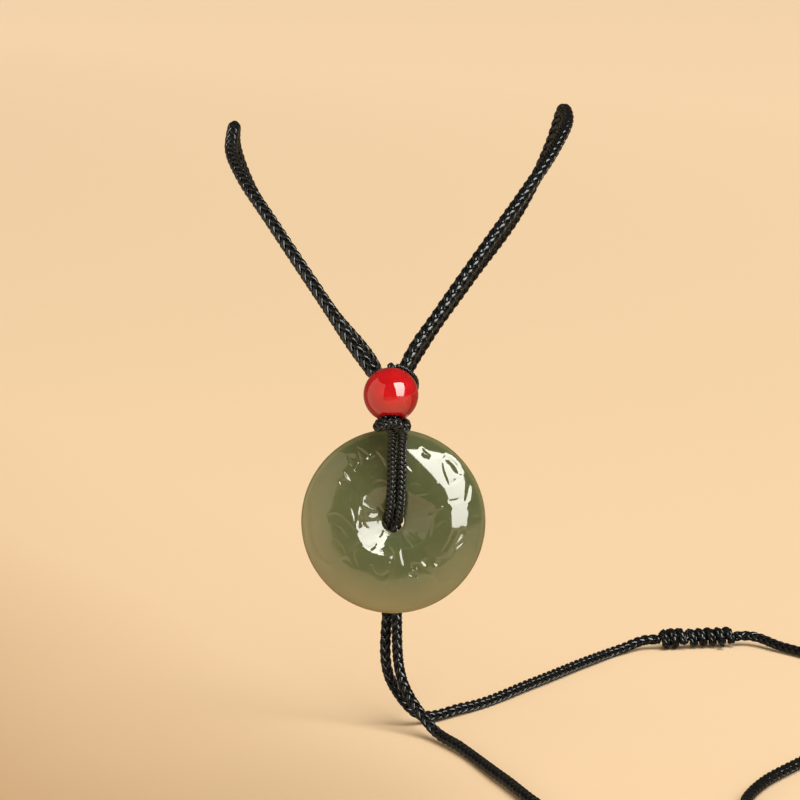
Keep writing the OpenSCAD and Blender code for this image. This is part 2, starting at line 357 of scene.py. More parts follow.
def onDisc(points):
    # A point of the disc's own frame, leaned back and then turned, in millimetres
    x, y, z = np.moveaxis(np.asarray(points, dtype=float), -1, 0)
    leanY = y * math.cos(discLean) + z * math.sin(discLean)
    leanZ = -y * math.sin(discLean) + z * math.cos(discLean)
    turnX = x * math.cos(discTurn) - leanY * math.sin(discTurn)
    turnY = x * math.sin(discTurn) + leanY * math.cos(discTurn)
    return np.stack([turnX, turnY, leanZ], axis=-1) + discPlace


def inBead(x, along):
    # A point some way along the bead's leaning bore
    return beadPlace + np.array([x, along * math.sin(beadLean), along * math.cos(beadLean)])


disc = {
    "radius": 14.0,
    "thickness": 7.2,
    "bore": 1.65,
    "crest": 0.52,       # share of the radius
    "crestRound": 1.2,
    "rimShare": 0.34,
    "rimPower": 5,
    "lip": 0.35,
    "lift": 0.3,         # highest relief over the plain roof
}
crestRadius = disc["radius"] * disc["crest"]
outerWidth = disc["radius"] - crestRadius
roofSlope = (1 - disc["rimShare"]) * disc["thickness"] / 2 / (
    math.hypot(outerWidth, disc["crestRound"]) - disc["crestRound"])


def roofAt(r):
    # Two even slopes that fall from a rounded crest, towards the bore and towards the rim
    fall = np.hypot(r - crestRadius, disc["crestRound"]) - disc["crestRound"]
    return disc["thickness"] / 2 - roofSlope * fall


def faceAt(r):
    # The roof, drawn in to nothing at the rim
    share = np.clip((r - crestRadius) / outerWidth, 0, 1)
    return roofAt(r) * np.sqrt(1 - share ** disc["rimPower"])


thinRadius = 0.725
strandGap = 0.06
strandX = thinRadius + strandGap / 2
bandHalf = 1.65
strandSway = 0.45
boreRadius = disc["bore"]
lipHeight = float(roofAt(boreRadius + disc["lip"]))
faceLie = disc["thickness"] / 2 + disc["lift"] + thinRadius
backLie = disc["thickness"] / 2 + thinRadius + strandGap
lipLie = lipHeight + thinRadius
rimLie = disc["radius"] + thinRadius + strandGap


def slopeLie(share):
    # Depth of the cord's middle where it lies on the disc's outer slope
    return float(faceAt(crestRadius + outerWidth * share)) + thinRadius + 3 * strandGap


def halfRoute(side):
    # Down the face, through the bore, up the back, over the rim and across the front. Each
    # row: shares of strandX, the place in depth and height, and shares of the sway
    upper = [inBead(side * strandX, beadRadius * q) for q in (0.6, 0.0, -1.14)]
    rows = [
        (1, -faceLie - 3.6, disc["radius"] - 0.2, 1), (1, -faceLie - 1.2, disc["radius"] * 0.78, 1),
        (1, -faceLie, crestRadius, 0.95), (1, -faceLie + 0.35, crestRadius * 0.6, 0.75),
        (1, -lipLie - 0.55, boreRadius + 0.15, 0.3), (1, -lipLie + 0.25, boreRadius * 0.45, 0),
        (1, 0, boreRadius * 0.1, 0), (1, lipLie - 0.25, boreRadius * 0.45, 0),
        (1, lipLie + 0.55, boreRadius + 0.15, 0), (1.1, backLie - 0.35, crestRadius * 0.62, 0),
        (1.3, backLie, crestRadius, 0), (1.8, slopeLie(0.4), crestRadius + outerWidth * 0.45, 0),
        (2.3, slopeLie(0.72), crestRadius + outerWidth * 0.78, 0),
        (2.6, slopeLie(0.97) + 0.05, rimLie - 0.55, 0), (2.6, -0.6, rimLie + 0.05, -0.2),
        (2.4, -backLie + 0.2, rimLie + 0.1, -0.4), (2.35, -faceLie - 2, rimLie + 0.1, -0.4),
    ]
    lower = [onDisc((side * strandX * x + strandSway * sway, y, z)) for x, y, z, sway in rows]
    return upper + lower + [inBead(side * bandHalf, -beadRadius) + (0.1, -1.35, -0.6)]


thinCord = {
    "diameter": 0.00145,
    "strands": 8,
    "over": 2,
    "lead": 0.0031,
    "radius": 0.00047,
    "swing": 0.00014,
    "flat": 0.3,
    "width": 0.00054,
    "height": 0.0003,
    "core": 0.0008,
    "sides": 5,
    "step": 0.00013,
}
bandMiddle = inBead(0, -beadRadius) + (0.2, -2 * thinRadius - strandGap, 0)
hangCorners = fromMm(halfRoute(1) + [bandMiddle] + halfRoute(-1)[::-1])
thinThread = waxedThread("thinThread", dict(
    wax, ply=1.1, fibres=6.0, bump=0.5, relief=0.00003, patches=420.0, shine=0.38, shades=[
        (0.3, (0.0018, 0.0021, 0.0027)), (0.55, (0.0036, 0.004, 0.005)), (0.75, (0.01, 0.0102, 0.011)),
    ],
))
hangPiece, hangLine = braidedPiece("hangingBraid", hangCorners, thinCord, thinThread)
print("stage: hanging cord", round(lineLength(hangLine), 4))

# Junction knot: an eye over the neck cord, a small wound knot below it, and a bow
tie = {"eyeRadius": 1.92, "knotRadius": 1.35, "knotGap": 0.95}    # millimetres
knotUnder = bight + np.array([0, -0.3, -neckRadius - tie["knotRadius"] - tie["knotGap"]])
eyeTurns = np.radians([70, 110, 150, 190, 225])
eyeCorners = fromMm(
    [inBead(0, beadRadius * 0.72), inBead(0, beadRadius * 1.06), beadPlace + (0, 3.3, 3.5)]
    + [bight + tie["eyeRadius"] * np.array([0, -math.cos(a), math.sin(a)]) for a in eyeTurns]
    + [knotUnder + (0, 0.3, 0.2)]
)
bowCorners = fromMm(beadPlace + beadRadius * np.array([
    (0.25, 1.24, -0.56), (0.66, 1.2, -0.41), (0.9, 1.1, -0.05), (0.93, 0.98, 0.37),
    (0.73, 0.8, 0.67), (0.47, 0.68, 0.88), (0.2, 0.58, 0.97),
]))
eyeBraid = dict(thinCord, lead=0.0034, radius=0.00036, swing=0.00008, width=0.0005,
                height=0.00029, core=0.0005, step=0.00015)
bowBraid = dict(eyeBraid, lead=0.0025, radius=0.00022, swing=0.00005, width=0.00036, height=0.0002,
                core=0.00034)
eyePiece = braidedPiece("junctionEye", eyeCorners, eyeBraid, thinThread)[0]
bowPiece = braidedPiece("junctionBow", bowCorners, bowBraid, thinThread)[0]


def woundLine(middle, ahead, length, radius, turns, ovalness=0.0):
    # A helix round a straight line, whose radius swells a little once each turn
    ahead = unit(np.array(ahead, dtype=float))
    side = unit(np.cross(ahead, (0.0, 0.0, 1.0)))
    up = np.cross(side, ahead)
    t = np.linspace(0, 1, int(turns * 12) + 1)[:, None]
    angle = 2 * math.pi * turns * t
    far = radius * (1 + ovalness * np.cos(angle))
    return middle + (t - 0.5) * length * ahead + far * (np.cos(angle) * up + np.sin(angle) * side)


junctionWrap = {"length": 2.3, "radius": 0.86, "turns": 3.2}    # millimetres
wrapCorners = woundLine(knotUnder * 0.001, (1, 0, 0.05), junctionWrap["length"] * 0.001,
                        junctionWrap["radius"] * 0.001, junctionWrap["turns"])
wrapPiece = braidedPiece("junctionWrap", wrapCorners, bowBraid, thinThread)[0]
print("stage: junction knot")

# Closure knot: the cord's own end wound round the loop, in two blocks with a waist between.
# Each block: mm from the knot's left end to its middle, length and radius in metres, turns,
# ovalness
closureBlocks = [(2.6, 0.0042, 0.00128, 2.3, 0.05), (10.7, 0.0088, 0.00112, 4.4, 0.08)]
closureBraid = dict(neckCord, lead=0.0058, radius=0.00056, swing=0.00015, width=0.0008,
                    height=0.00046, core=0.0009, step=0.00028)
closureCorners = np.vstack([
    woundLine(fromMm(knotLeft + place * knotAhead), knotAhead, *wind) for place, *wind in closureBlocks
])
closurePiece = braidedPiece("closureWinding", closureCorners, closureBraid, neckThread)[0]
tailSide = np.array([-knotAhead[1], knotAhead[0], 0.0])
tailRoot = knotLeft + knotLength * 0.8 * knotAhead
tailCorners = fromMm([
    tailRoot - 0.3 * tailSide, tailRoot - 1.3 * tailSide - (0, 0, 0.2),
    tailRoot - 2.3 * tailSide - (0.1, 0, 0.5), tailRoot - 3.4 * tailSide - (0.3, 0, 0.9),
])
tailPiece = braidedPiece("closureTail", tailCorners, dict(eyeBraid, step=0.0002), neckThread)[0]
print("stage: closure knot")

# Coral bead: a ball with a bore, whose edge is softened, turned about its own axis
bead = {
    "radius": beadRadius,
    "bore": 1.6,
    "soft": 0.22,     # rounding of the bore's edge
    "round": 160,
    "shades": [(0.3, (0.27, 0.0022, 0.0045)), (0.5, (0.33, 0.003, 0.006)), (0.72, (0.39, 0.006, 0.01))],
    "gloss": (0.04, 0.09),
    "bend": 1.55,     # how far the polish bends light
}


def beadProfile():
    # Half circle from one bore edge to the other, then back along the bore wall
    radius, bore, soft = bead["radius"], bead["bore"], bead["soft"]
    edge = math.asin((bore + soft) / radius)
    ball = np.linspace(edge, math.pi - edge, 81)
    outer = np.stack([radius * np.sin(ball), radius * np.cos(ball)], axis=1)
    top = outer[0, 1]
    turn = np.linspace(0, math.pi / 2, 7)[1:]
    bend = np.stack([bore + soft * (1 - np.sin(turn)), -top + soft * (1 - np.cos(turn))], axis=1)
    wall = np.stack([np.full(9, bore), np.linspace(-top + soft, top - soft, 11)[1:-1]], axis=1)
    return np.vstack([outer, bend, wall, bend[::-1] * (1, -1)])


def turnedBead(profile, around):
    # Each point of the profile swept once round the bead's axis
    turn = 2 * math.pi * np.arange(around) / around
    x = profile[:, 0, None] * np.cos(turn)
    y = profile[:, 0, None] * np.sin(turn)
    z = np.repeat(profile[:, 1, None], around, axis=1)
    placed = np.stack([
        x, y * math.cos(beadLean) + z * math.sin(beadLean), -y * math.sin(beadLean) + z * math.cos(beadLean),
    ], axis=-1)
    return (placed + beadPlace) * 0.001


def closedGrid(rows, columns):
    # Quads of a grid that closes on itself both ways
    row, column = np.meshgrid(np.arange(rows), np.arange(columns), indexing="ij")
    below, beside = (row + 1) % rows, (column + 1) % columns
    quads = np.stack([
        row * columns + column, below * columns + column, below * columns + beside, row * columns + beside,
    ], axis=-1)
    return quads.reshape(-1, 4)


coral, coralTree, coralShader = newFinish("coralRed")
coralPlace = coralTree.nodes.new("ShaderNodeTexCoord").outputs["Object"]
coralCloud = noiseOf(coralTree, coralPlace, 260.0, 4.0, 0.55)
coralTree.links.new(ramp(coralTree, coralCloud, bead["shades"]), coralShader.inputs["Base Color"])
coralTree.links.new(rangeOf(coralTree, noiseOf(coralTree, coralPlace, 900.0), *bead["gloss"]),
                    coralShader.inputs["Roughness"])
bumpOn(coralTree, coralShader, noiseOf(coralTree, coralPlace, 700.0, 2.0), 0.25, 0.00001)
coralShader.inputs["IOR"].default_value = bead["bend"]
profile = beadProfile()
beadPiece = makePiece("coralBead", turnedBead(profile, bead["round"]),
                      closedGrid(len(profile), bead["round"]), coral)
print("stage: bead")

# Jade disc: a plain back, and a front with three slopes: a funnel to the bore, a nearly level
# carved band, and a domed polished slope to a rounded rim. The edges of the band are toothed
carving = {
    "around": 760,
    "rings": (22, 52, 8, 12),     # across the funnel, the band, the slope and the rim
    "back": 22,
    "domeStart": 7.0,             # mm from the middle, as are the next three
    "funnelTop": 6.0,
    "slopeEnd": 11.6,
    "rimStart": 13.37,
    "domeBend": 0.0575,           # fall per square mm
    "rimRound": 1.6,
    "bandSlope": 0.06,
    "toothLength": 1.6,
    "soft": 0.025,                # rounding of the edges between the slopes
    "bandWear": 24.0,             # degrees over which the teeth of an edge are worn down
    "funnelWear": 9.0,
    "lightSide": (-0.8, -0.6),    # the side that the thin cut walls face
    "steepWall": 0.34,            # mm across, of a cut line's steep wall
    "slopedWall": 0.75,           # mm more, of the wall across from it
    "settle": 0.3,                # mm beside the bore that take up the carving
}
# Outer and inner edge of the carved band: bearing in degrees and share of the radius
bandOuter = [
    (-180, 0.71), (-178, 0.66), (-172, 0.65), (-163, 0.675), (-159, 0.645), (-150, 0.655), (-142, 0.70),
    (-134, 0.665), (-128, 0.65), (-119, 0.61), (-108, 0.605), (-101, 0.665), (-97, 0.63), (-91, 0.615),
    (-77, 0.58), (-69, 0.6), (-65, 0.72), (-59, 0.66), (-53, 0.715), (-50, 0.66), (-35, 0.73), (-30, 0.66),
    (-20, 0.65), (-12, 0.62), (0, 0.6), (9, 0.605), (13, 0.64), (21, 0.625), (30, 0.64), (40, 0.66),
    (43, 0.6), (52, 0.62), (64, 0.6), (76, 0.64), (90, 0.62), (98, 0.68), (104, 0.8), (110, 0.78),
    (116, 0.9), (119, 0.82), (125, 0.88), (127, 0.79), (134, 0.775), (137, 0.72), (143, 0.75),
    (147, 0.705), (158, 0.68), (165, 0.675), (171, 0.7), (175, 0.735), (177, 0.7), (180, 0.71),
]
bandInner = [
    (-180, 0.4), (-150, 0.42), (-120, 0.41), (-95, 0.36), (-70, 0.3), (-58, 0.34), (-51, 0.37), (-44, 0.31),
    (-36, 0.39), (-27, 0.43), (-16, 0.425), (0, 0.42), (10, 0.445), (15, 0.5), (18, 0.56), (20, 0.47),
    (25, 0.43), (33, 0.45), (40, 0.37), (46, 0.38), (60, 0.36), (80, 0.38), (110, 0.4), (140, 0.42),
    (160, 0.38), (180, 0.4),
]
# Cut lines, each through a few places in mm from the middle: depth, which side the steep
# wall faces (1 is the light side), and the places
drawnLines = [
    (0.12, 1, [(-10.0, 0.9), (-8.6, 1.1), (-7.3, 0.2), (-5.9, -1.3), (-4.9, -2.1)]),
    (0.10, 1, [(-8.2, 6.1), (-7.1, 6.2), (-6.3, 5.3), (-5.7, 4.4)]),
    (0.10, 1, [(-6.7, 4.6), (-6.7, 3.0), (-6.2, 1.4)]),
    (0.08, 1, [(-8.6, 3.0), (-8.2, 4.0)]),
    (0.11, 1, [(-5.1, -3.1), (-6.1, -4.6), (-5.4, -7.0)]),
    (0.10, 1, [(-3.4, -6.4), (-3.0, -7.6), (-1.6, -8.1), (-0.6, -7.4)]),
    (0.10, 1, [(-3.4, 5.3), (-2.2, 6.1), (-0.9, 5.9)]),
    (0.10, 1, [(2.1, 5.1), (3.5, 5.6), (4.3, 5.0)]),
    (0.09, 1, [(3.3, 3.8), (5.4, 4.0)]),
    (0.12, 1, [(7.8, 3.2), (7.8, 2.2), (6.0, 1.2), (5.7, -1.5), (5.2, -2.7), (4.3, -3.2), (3.6, -2.3)]),
    (0.09, 1, [(7.9, 0.1), (6.6, -1.1), (6.9, -1.9)]),
    (0.10, 1, [(11.2, -2.5), (9.3, -4.0), (8.6, -5.2), (6.4, -5.8)]),
    (0.05, 1, [(11.5, 2.6), (12.3, 2.2), (13.1, 2.5)]),
    (0.05, 1, [(11.7, 1.0), (12.5, 0.5), (13.1, 0.9)]),
    (0.09, 1, [(2.2, -7.7), (3.3, -6.4), (4.3, -6.8), (4.6, -7.7)]),
    (0.06, -1, [(0.0, -8.7), (-1.4, -10.5)]),
    (0.07, -1, [(6.4, -6.6), (6.3, -8.3), (7.0, -9.9)]),
    (0.06, -1, [(9.5, -8.7), (7.4, -9.3)]),
    (0.06, -1, [(10.4, -7.4), (9.2, -7.9), (8.2, -8.4)]),
    (0.10, 1, [(-2.6, 2.8), (-0.9, 0.5)]),
    (0.08, 1, [(-4.3, 1.6), (-3.0, 1.3), (-1.8, 1.7)]),
    (0.14, -1, [(-5.9, 7.7), (-5.4, 8.4), (-4.7, 9.6)]),
    (0.12, -1, [(-4.3, 8.6), (-3.4, 10.0), (-1.7, 11.2)]),
    (0.10, -1, [(-5.1, 12.0), (-3.9, 11.8), (-2.4, 12.5)]),
    (0.10, -1, [(-3.4, 6.7), (-2.6, 8.6)]),
    (0.12, -1, [(1.6, -2.8), (1.2, -4.0), (1.6, -6.8)]),
    (0.14, -1, [(4.3, -5.8), (5.0, -6.7)]),
    (0.12, -1, [(6.3, -6.6), (7.2, -6.0)]),
    (0.12, -1, [(2.2, -7.9), (3.5, -8.3)]),
    (0.08, -1, [(11.5, 6.1), (11.2, 4.6), (10.9, 3.0)]),
    (0.12, -1, [(2.1, 8.5), (3.0, 7.6)]),
    (0.14, -1, [(3.5, -1.5), (3.7, -3.2)]),
    (0.16, 1, [(4.1, 11.1), (4.7, 10.4), (5.6, 9.9)]),
    (0.16, 1, [(7.2, 9.4), (7.4, 7.8), (8.3, 5.4)]),
    (0.22, 1, [(7.7, 10.0), (9.2, 8.8), (10.3, 7.1)]),
    (0.1, 1, [(9.9, 6.7), (9.4, 6.2), (8.4, 5.8)]),
    (0.08, 1, [(8.2, 3.1), (9.3, 3.2), (10.4, 3.6)]),
    (0.14, -1, [(-6.9, 3.2), (-6.0, 1.2), (-5.6, -0.6)]),
    (0.1, 1, [(-9.2, -2.6), (-8.0, -3.6), (-7.3, -5.0)]),
    (0.1, 1, [(-8.9, -0.4), (-7.9, -1.2), (-7.0, -2.6)]),
    (0.09, -1, [(-7.9, -5.6), (-6.9, -6.0), (-6.2, -6.9)]),
    (0.2, 1, [(-12.7, 3.0), (-12.8, 0.5), (-12.6, -2.0), (-12.0, -4.0), (-11.0, -5.6), (-9.6, -6.4),
              (-8.3, -5.8)]),
    (0.2, 1, [(-12.1, 4.1), (-11.2, 6.1), (-9.7, 8.2), (-7.4, 10.2)]),
    (0.12, -1, [(10.5, -0.8), (9.9, -2.2), (8.5, -4.5)]),
    (0.1, -1, [(9.2, -1.0), (8.3, -3.2), (7.4, -4.6)]),
    (0.16, 1, [(-5.2, 4.8), (-5.0, 2.9), (-4.8, 1.4), (-4.6, -0.4), (-3.6, -1.3)]),
    (0.14, 1, [(-2.2, -2.3), (-1.7, -1.3)]),
    (0.18, 1, [(-1.9, -3.9), (-1.1, -3.7), (-0.4, -4.3), (-0.1, -5.4), (-0.6, -6.2)]),
    (0.14, 1, [(-1.5, -4.3), (-1.2, -5.2), (-0.7, -5.6)]),
    (0.12, 1, [(-4.6, -3.4), (-3.6, -3.9), (-2.6, -3.3)]),
]


def softLeast(first, second):
    # The smaller of the two, rounded over where they cross
    soft = carving["soft"]
    least = np.minimum(first, second)
    return least - soft * np.log1p(np.exp(-np.abs(first - second) / soft))


def strokeDepth(place, path, depth, facing):
    # Deepest along the line and nothing at its ends, with a steep narrow wall where the
    # wall looks to the side named, and a long slope across from it
    start, span = path[:-1], np.diff(path, axis=0)
    reach = place[:, None] - start
    share = np.clip((reach * span).sum(2) / (span**2).sum(1), 0, 1)
    away = reach - share[..., None] * span
    distance = np.hypot(away[..., 0], away[..., 1])
    nearest = distance.argmin(1)
    pick = np.arange(len(place))
    far = distance[pick, nearest]
    toLight = -facing * (away[pick, nearest] @ np.array(carving["lightSide"])) / np.maximum(far, 1e-6)
    width = carving["steepWall"] + carving["slopedWall"] * (0.5 - 0.5 * toLight) ** 2
    t = (nearest + share[pick, nearest]) / len(span)
    return depth * np.sin(math.pi * t) ** 0.45 * np.clip(1 - far / width, 0, 1) ** 1.2


def edgeRadius(edge, bearing, spread):
    # The edge's radius at each bearing, its teeth worn down over the spread in degrees
    degrees = np.degrees(np.angle(np.exp(1j * bearing)))
    offsets = spread * np.linspace(-1, 1, 61)
    turned = (degrees[..., None] + offsets + 180) % 360 - 180
    return disc["radius"] * np.interp(turned, *np.array(edge).T).mean(-1)


def carvedFront(radius, bearing):
    # The least of the funnel, the band and the dome, then the cut lines taken out of it.
    # The band follows each tooth near its outer edge, and only their mean further in
    outer = edgeRadius(bandOuter, bearing, 0.0)
    worn = edgeRadius(bandOuter, bearing, carving["bandWear"])
    inner = edgeRadius(bandInner, bearing, carving["funnelWear"])
    top = disc["thickness"] / 2
    bend, start = carving["domeBend"], carving["domeStart"]
    dome = top - bend * np.maximum(radius - start, 0) ** 2
    toothed = np.clip((radius - outer + carving["toothLength"]) / carving["toothLength"], 0, 1)
    toothed = toothed * toothed * (3 - 2 * toothed)
    reach = worn + (outer - worn) * toothed
    band = top - bend * (reach - start) ** 2 + carving["bandSlope"] * (reach - radius)
    edge = top - bend * (worn - start) ** 2 + carving["bandSlope"] * (worn - inner)
    lipEdge = boreRadius + disc["lip"]
    funnel = lipHeight + (edge - lipHeight) * (radius - lipEdge) / (inner - lipEdge)
    height = softLeast(softLeast(band, dome), funnel)
    place = np.stack([(radius * np.cos(bearing)).ravel(), (radius * np.sin(bearing)).ravel()], axis=1)
    deepest = np.zeros(len(place))
    for depth, facing, places in drawnLines:
        path = smoothLine(np.array(places, dtype=float), 0.3)
        low, high = path.min(0) - 1.2, path.max(0) + 1.2
        near = np.all((place > low) & (place < high), axis=1)
        deepest[near] = np.maximum(deepest[near], strokeDepth(place[near], path, depth, facing))
    height = height - deepest.reshape(height.shape)
    rimMiddle = disc["radius"] - carving["rimRound"]
    rim = np.sqrt(np.maximum(carving["rimRound"] ** 2 - (radius - rimMiddle) ** 2, 0))
    height = np.where(radius > carving["rimStart"], rim, height)
    settle = np.clip((radius - lipEdge) / carving["settle"], 0, 1)
    return lipHeight + (height - lipHeight) * settle


def discGrid():
    # Once round the section: out over the front, in over the back, and through the bore
    lipEdge = boreRadius + disc["lip"]
    stops = (lipEdge, carving["funnelTop"], carving["slopeEnd"], carving["rimStart"], disc["radius"])
    front = np.concatenate([
        np.linspace(stops[k], stops[k + 1], carving["rings"][k], endpoint=False) for k in range(3)
    ])
    t = np.linspace(0, math.pi / 2, carving["rings"][3])
    rim = stops[3] + (stops[4] - stops[3]) * np.sin(t)
    front = np.concatenate([front, rim])
    t = np.linspace(1, 0, carving["back"])[1:]
    back = lipEdge + (disc["radius"] - lipEdge) * (1 - (1 - t) ** 1.6)
    turn = np.linspace(0, math.pi / 2, 5)[1:]
    lip = np.stack([
        lipEdge - disc["lip"] * np.sin(turn), lipHeight - disc["lip"] * (1 - np.cos(turn)),
    ], axis=1)
    wall = np.stack([np.full(4, boreRadius), np.linspace(-lip[-1, 1], lip[-1, 1], 6)[1:-1]], axis=1)
    radii = np.concatenate([front, back, lip[:, 0], wall[:, 0], lip[::-1, 0]])
    heights = np.concatenate([front * 0, -faceAt(back), -lip[:, 1], wall[:, 1], lip[::-1, 1]])
    bearing = 2 * math.pi * np.arange(carving["around"]) / carving["around"]
    across, height = np.broadcast_arrays(radii[:, None], heights[:, None] + 0 * bearing)
    height = height.copy()
    height[: len(front)] = carvedFront(*np.broadcast_arrays(front[:, None], bearing))
    return across * np.cos(bearing), -height, across * np.sin(bearing)


discX, discY, discZ = discGrid()
discPoints = onDisc(np.stack([discX, discY, discZ], axis=-1)) * 0.001

jadeLook = {
    "stone": [(0.25, (0.051, 0.065, 0.029)), (0.5, (0.066, 0.08, 0.036)), (0.75, (0.086, 0.1, 0.047))],
    # The warm glow painted into the stone's colour near the rim, in place of light coming through it
    "paintedGlowTone": (0.31, 0.26, 0.118),
    # Share of the painted glow's tone: least, most, and the metres from the middle where they hold
    "glowOnSlope": (0.0, 0.38, 0.009, 0.0125),
    "glowAtRim": (0.0, 1.0, 0.0132, 0.0139),
    # The painted glow is strongest towards this side, the lower left
    "glowSide": (-0.45, 0.0, -0.89),    # the tone grows this way
    "glowSideSpan": (-0.006, 0.012),        # metres along it, from none to all
    "glowSideAtRim": (0.32, 0.75),            # shares of it at the rim
    "gloss": (0.03, 0.075),
    "bend": 1.59,                       # how far the stone bends light
    "depth": 0.0015,                    # metres that light goes into it
}
jade, jadeTree, jadeShader = newFinish("jadeStone")
jadePlace = jadeTree.nodes.new("ShaderNodeTexCoord").outputs["Object"]
jadeCloud = noiseOf(jadeTree, jadePlace, 70.0, 5.0, 0.6)
stone = ramp(jadeTree, jadeCloud, jadeLook["stone"])
# Painted glow: light that comes through the thin stone at the rim is painted into the base
# colour as a warm tone, most of all at the lower left
centred = jadeTree.nodes.new("ShaderNodeMapping")
centred.inputs["Location"].default_value = tuple(-discPlace * 0.001)
jadeTree.links.new(jadePlace, centred.inputs["Vector"])
fromMiddle = jadeTree.nodes.new("ShaderNodeVectorMath")
fromMiddle.operation = "LENGTH"
jadeTree.links.new(centred.outputs["Vector"], fromMiddle.inputs[0])
paintedGlowMix = jadeTree.nodes.new("ShaderNodeMix")
paintedGlowMix.data_type = "RGBA"
towardsGlowSide = jadeTree.nodes.new("ShaderNodeVectorMath")
towardsGlowSide.operation = "DOT_PRODUCT"
towardsGlowSide.inputs[1].default_value = jadeLook["glowSide"]
jadeTree.links.new(centred.outputs["Vector"], towardsGlowSide.inputs[0])
outwards = fromMiddle.outputs["Value"]
glowSideShare = rangeOf(jadeTree, towardsGlowSide.outputs["Value"], 0.0, 1.0, *jadeLook["glowSideSpan"])
slopeGlowShare = sums(jadeTree, "MULTIPLY", rangeOf(jadeTree, outwards, *jadeLook["glowOnSlope"]), glowSideShare)
rimGlowShare = sums(jadeTree, "MULTIPLY", rangeOf(jadeTree, outwards, *jadeLook["glowAtRim"]),
                rangeOf(jadeTree, glowSideShare, *jadeLook["glowSideAtRim"]))
jadeTree.links.new(sums(jadeTree, "MAXIMUM", slopeGlowShare, rimGlowShare), paintedGlowMix.inputs["Factor"])
jadeTree.links.new(stone, paintedGlowMix.inputs["A"])
paintedGlowMix.inputs["B"].default_value = (*jadeLook["paintedGlowTone"], 1.0)
jadeTree.links.new(paintedGlowMix.outputs["Result"], jadeShader.inputs["Base Color"])
jadeTree.links.new(rangeOf(jadeTree, noiseOf(jadeTree, jadePlace, 300.0), *jadeLook["gloss"]),
                   jadeShader.inputs["Roughness"])
bumpOn(jadeTree, jadeShader, noiseOf(jadeTree, jadePlace, 500.0, 2.0), 0.2, 0.00001)
jadeShader.inputs["IOR"].default_value = jadeLook["bend"]
jadeShader.inputs["Subsurface Weight"].default_value = 0.5
jadeShader.inputs["Subsurface Radius"].default_value = (1.0, 1.1, 0.6)
jadeShader.inputs["Subsurface Scale"].default_value = jadeLook["depth"]
discPiece = makePiece("jadeDisc", discPoints, closedGrid(*discX.shape), jade)
print("stage: disc")

# Floor, far enough out to fill the view. Its colour holds painted shade: darker towards the front left, paler
# to the right and to the back
floorLook = {
    "corners": [(-30, -30), (30, -30), (30, 30), (-30, 30)],
    "height": -0.117,
    # Shades from the painted shade at the front left to the plain floor further off
    "shades": [(0.0, (0.43, 0.29, 0.165)), (0.039, (0.57, 0.42, 0.27)), (0.078, (0.69, 0.53, 0.36)),
               (0.13, (0.72, 0.56, 0.385)), (1.0, (0.82, 0.645, 0.455))],
    "outOfPaintedShade": (4.6, 2.4),      # how fast it grows paler to the right and to the back
    "clouds": 0.12,
    "span": (-0.32, 6.0),     # of the paleness, from the first shade to the last
}
floorMesh = bpy.data.meshes.new("studioFloor")
floorMesh.from_pydata([(*a, floorLook["height"]) for a in floorLook["corners"]], [], [(0, 1, 2, 3)])
floor = bpy.data.objects.new("studioFloor", floorMesh)
scene.collection.objects.link(floor)
paper, paperTree, paperShader = newFinish("paleFloor")
paperPlace = paperTree.nodes.new("ShaderNodeTexCoord").outputs["Object"]
paperAxes = paperTree.nodes.new("ShaderNodeSeparateXYZ")
paperTree.links.new(paperPlace, paperAxes.inputs["Vector"])
# Painted shade: the floor's tone is darker towards the front left and paler to the right and the back
toRight = sums(paperTree, "MULTIPLY", paperAxes.outputs["X"], floorLook["outOfPaintedShade"][0])
toBack = sums(paperTree, "MULTIPLY", paperAxes.outputs["Y"], floorLook["outOfPaintedShade"][1])
clouds = sums(paperTree, "MULTIPLY", noiseOf(paperTree, paperPlace, 6.0, 4.0), floorLook["clouds"])
outOfPaintedShade = sums(paperTree, "ADD", sums(paperTree, "ADD", toRight, toBack), clouds)
toned = ramp(paperTree, rangeOf(paperTree, outOfPaintedShade, 0.0, 1.0, *floorLook["span"]), floorLook["shades"])
paperTree.links.new(toned, paperShader.inputs["Base Color"])
paperShader.inputs["Roughness"].default_value = 0.8
paperShader.inputs["Specular IOR Level"].default_value = 0.1
floorMesh.materials.append(paper)


def areaLight(name, towards, distance, width, height, colour, power, aim=(-0.001, -0.052, -0.05)):
    # A soft panel that faces the pendant from the direction given, unseen in reflections
    data = bpy.data.lights.new(name, "AREA")
    data.shape = "RECTANGLE"
    data.size, data.size_y = width, height
    data.color = colour
    data.energy = power
    lamp = bpy.data.objects.new(name, data)
    ahead = unit(np.array(towards, dtype=float))
    place = np.array(aim) + distance * ahead
    side = unit(np.cross((0.0, 0.0, 1.0), ahead))
    up = np.cross(ahead, side)
    lamp.matrix_world = Matrix([[side[k], up[k], ahead[k], place[k]] for k in range(3)] + [[0, 0, 0, 1]])
    lamp.visible_camera = lamp.visible_glossy = False
    scene.collection.objects.link(lamp)


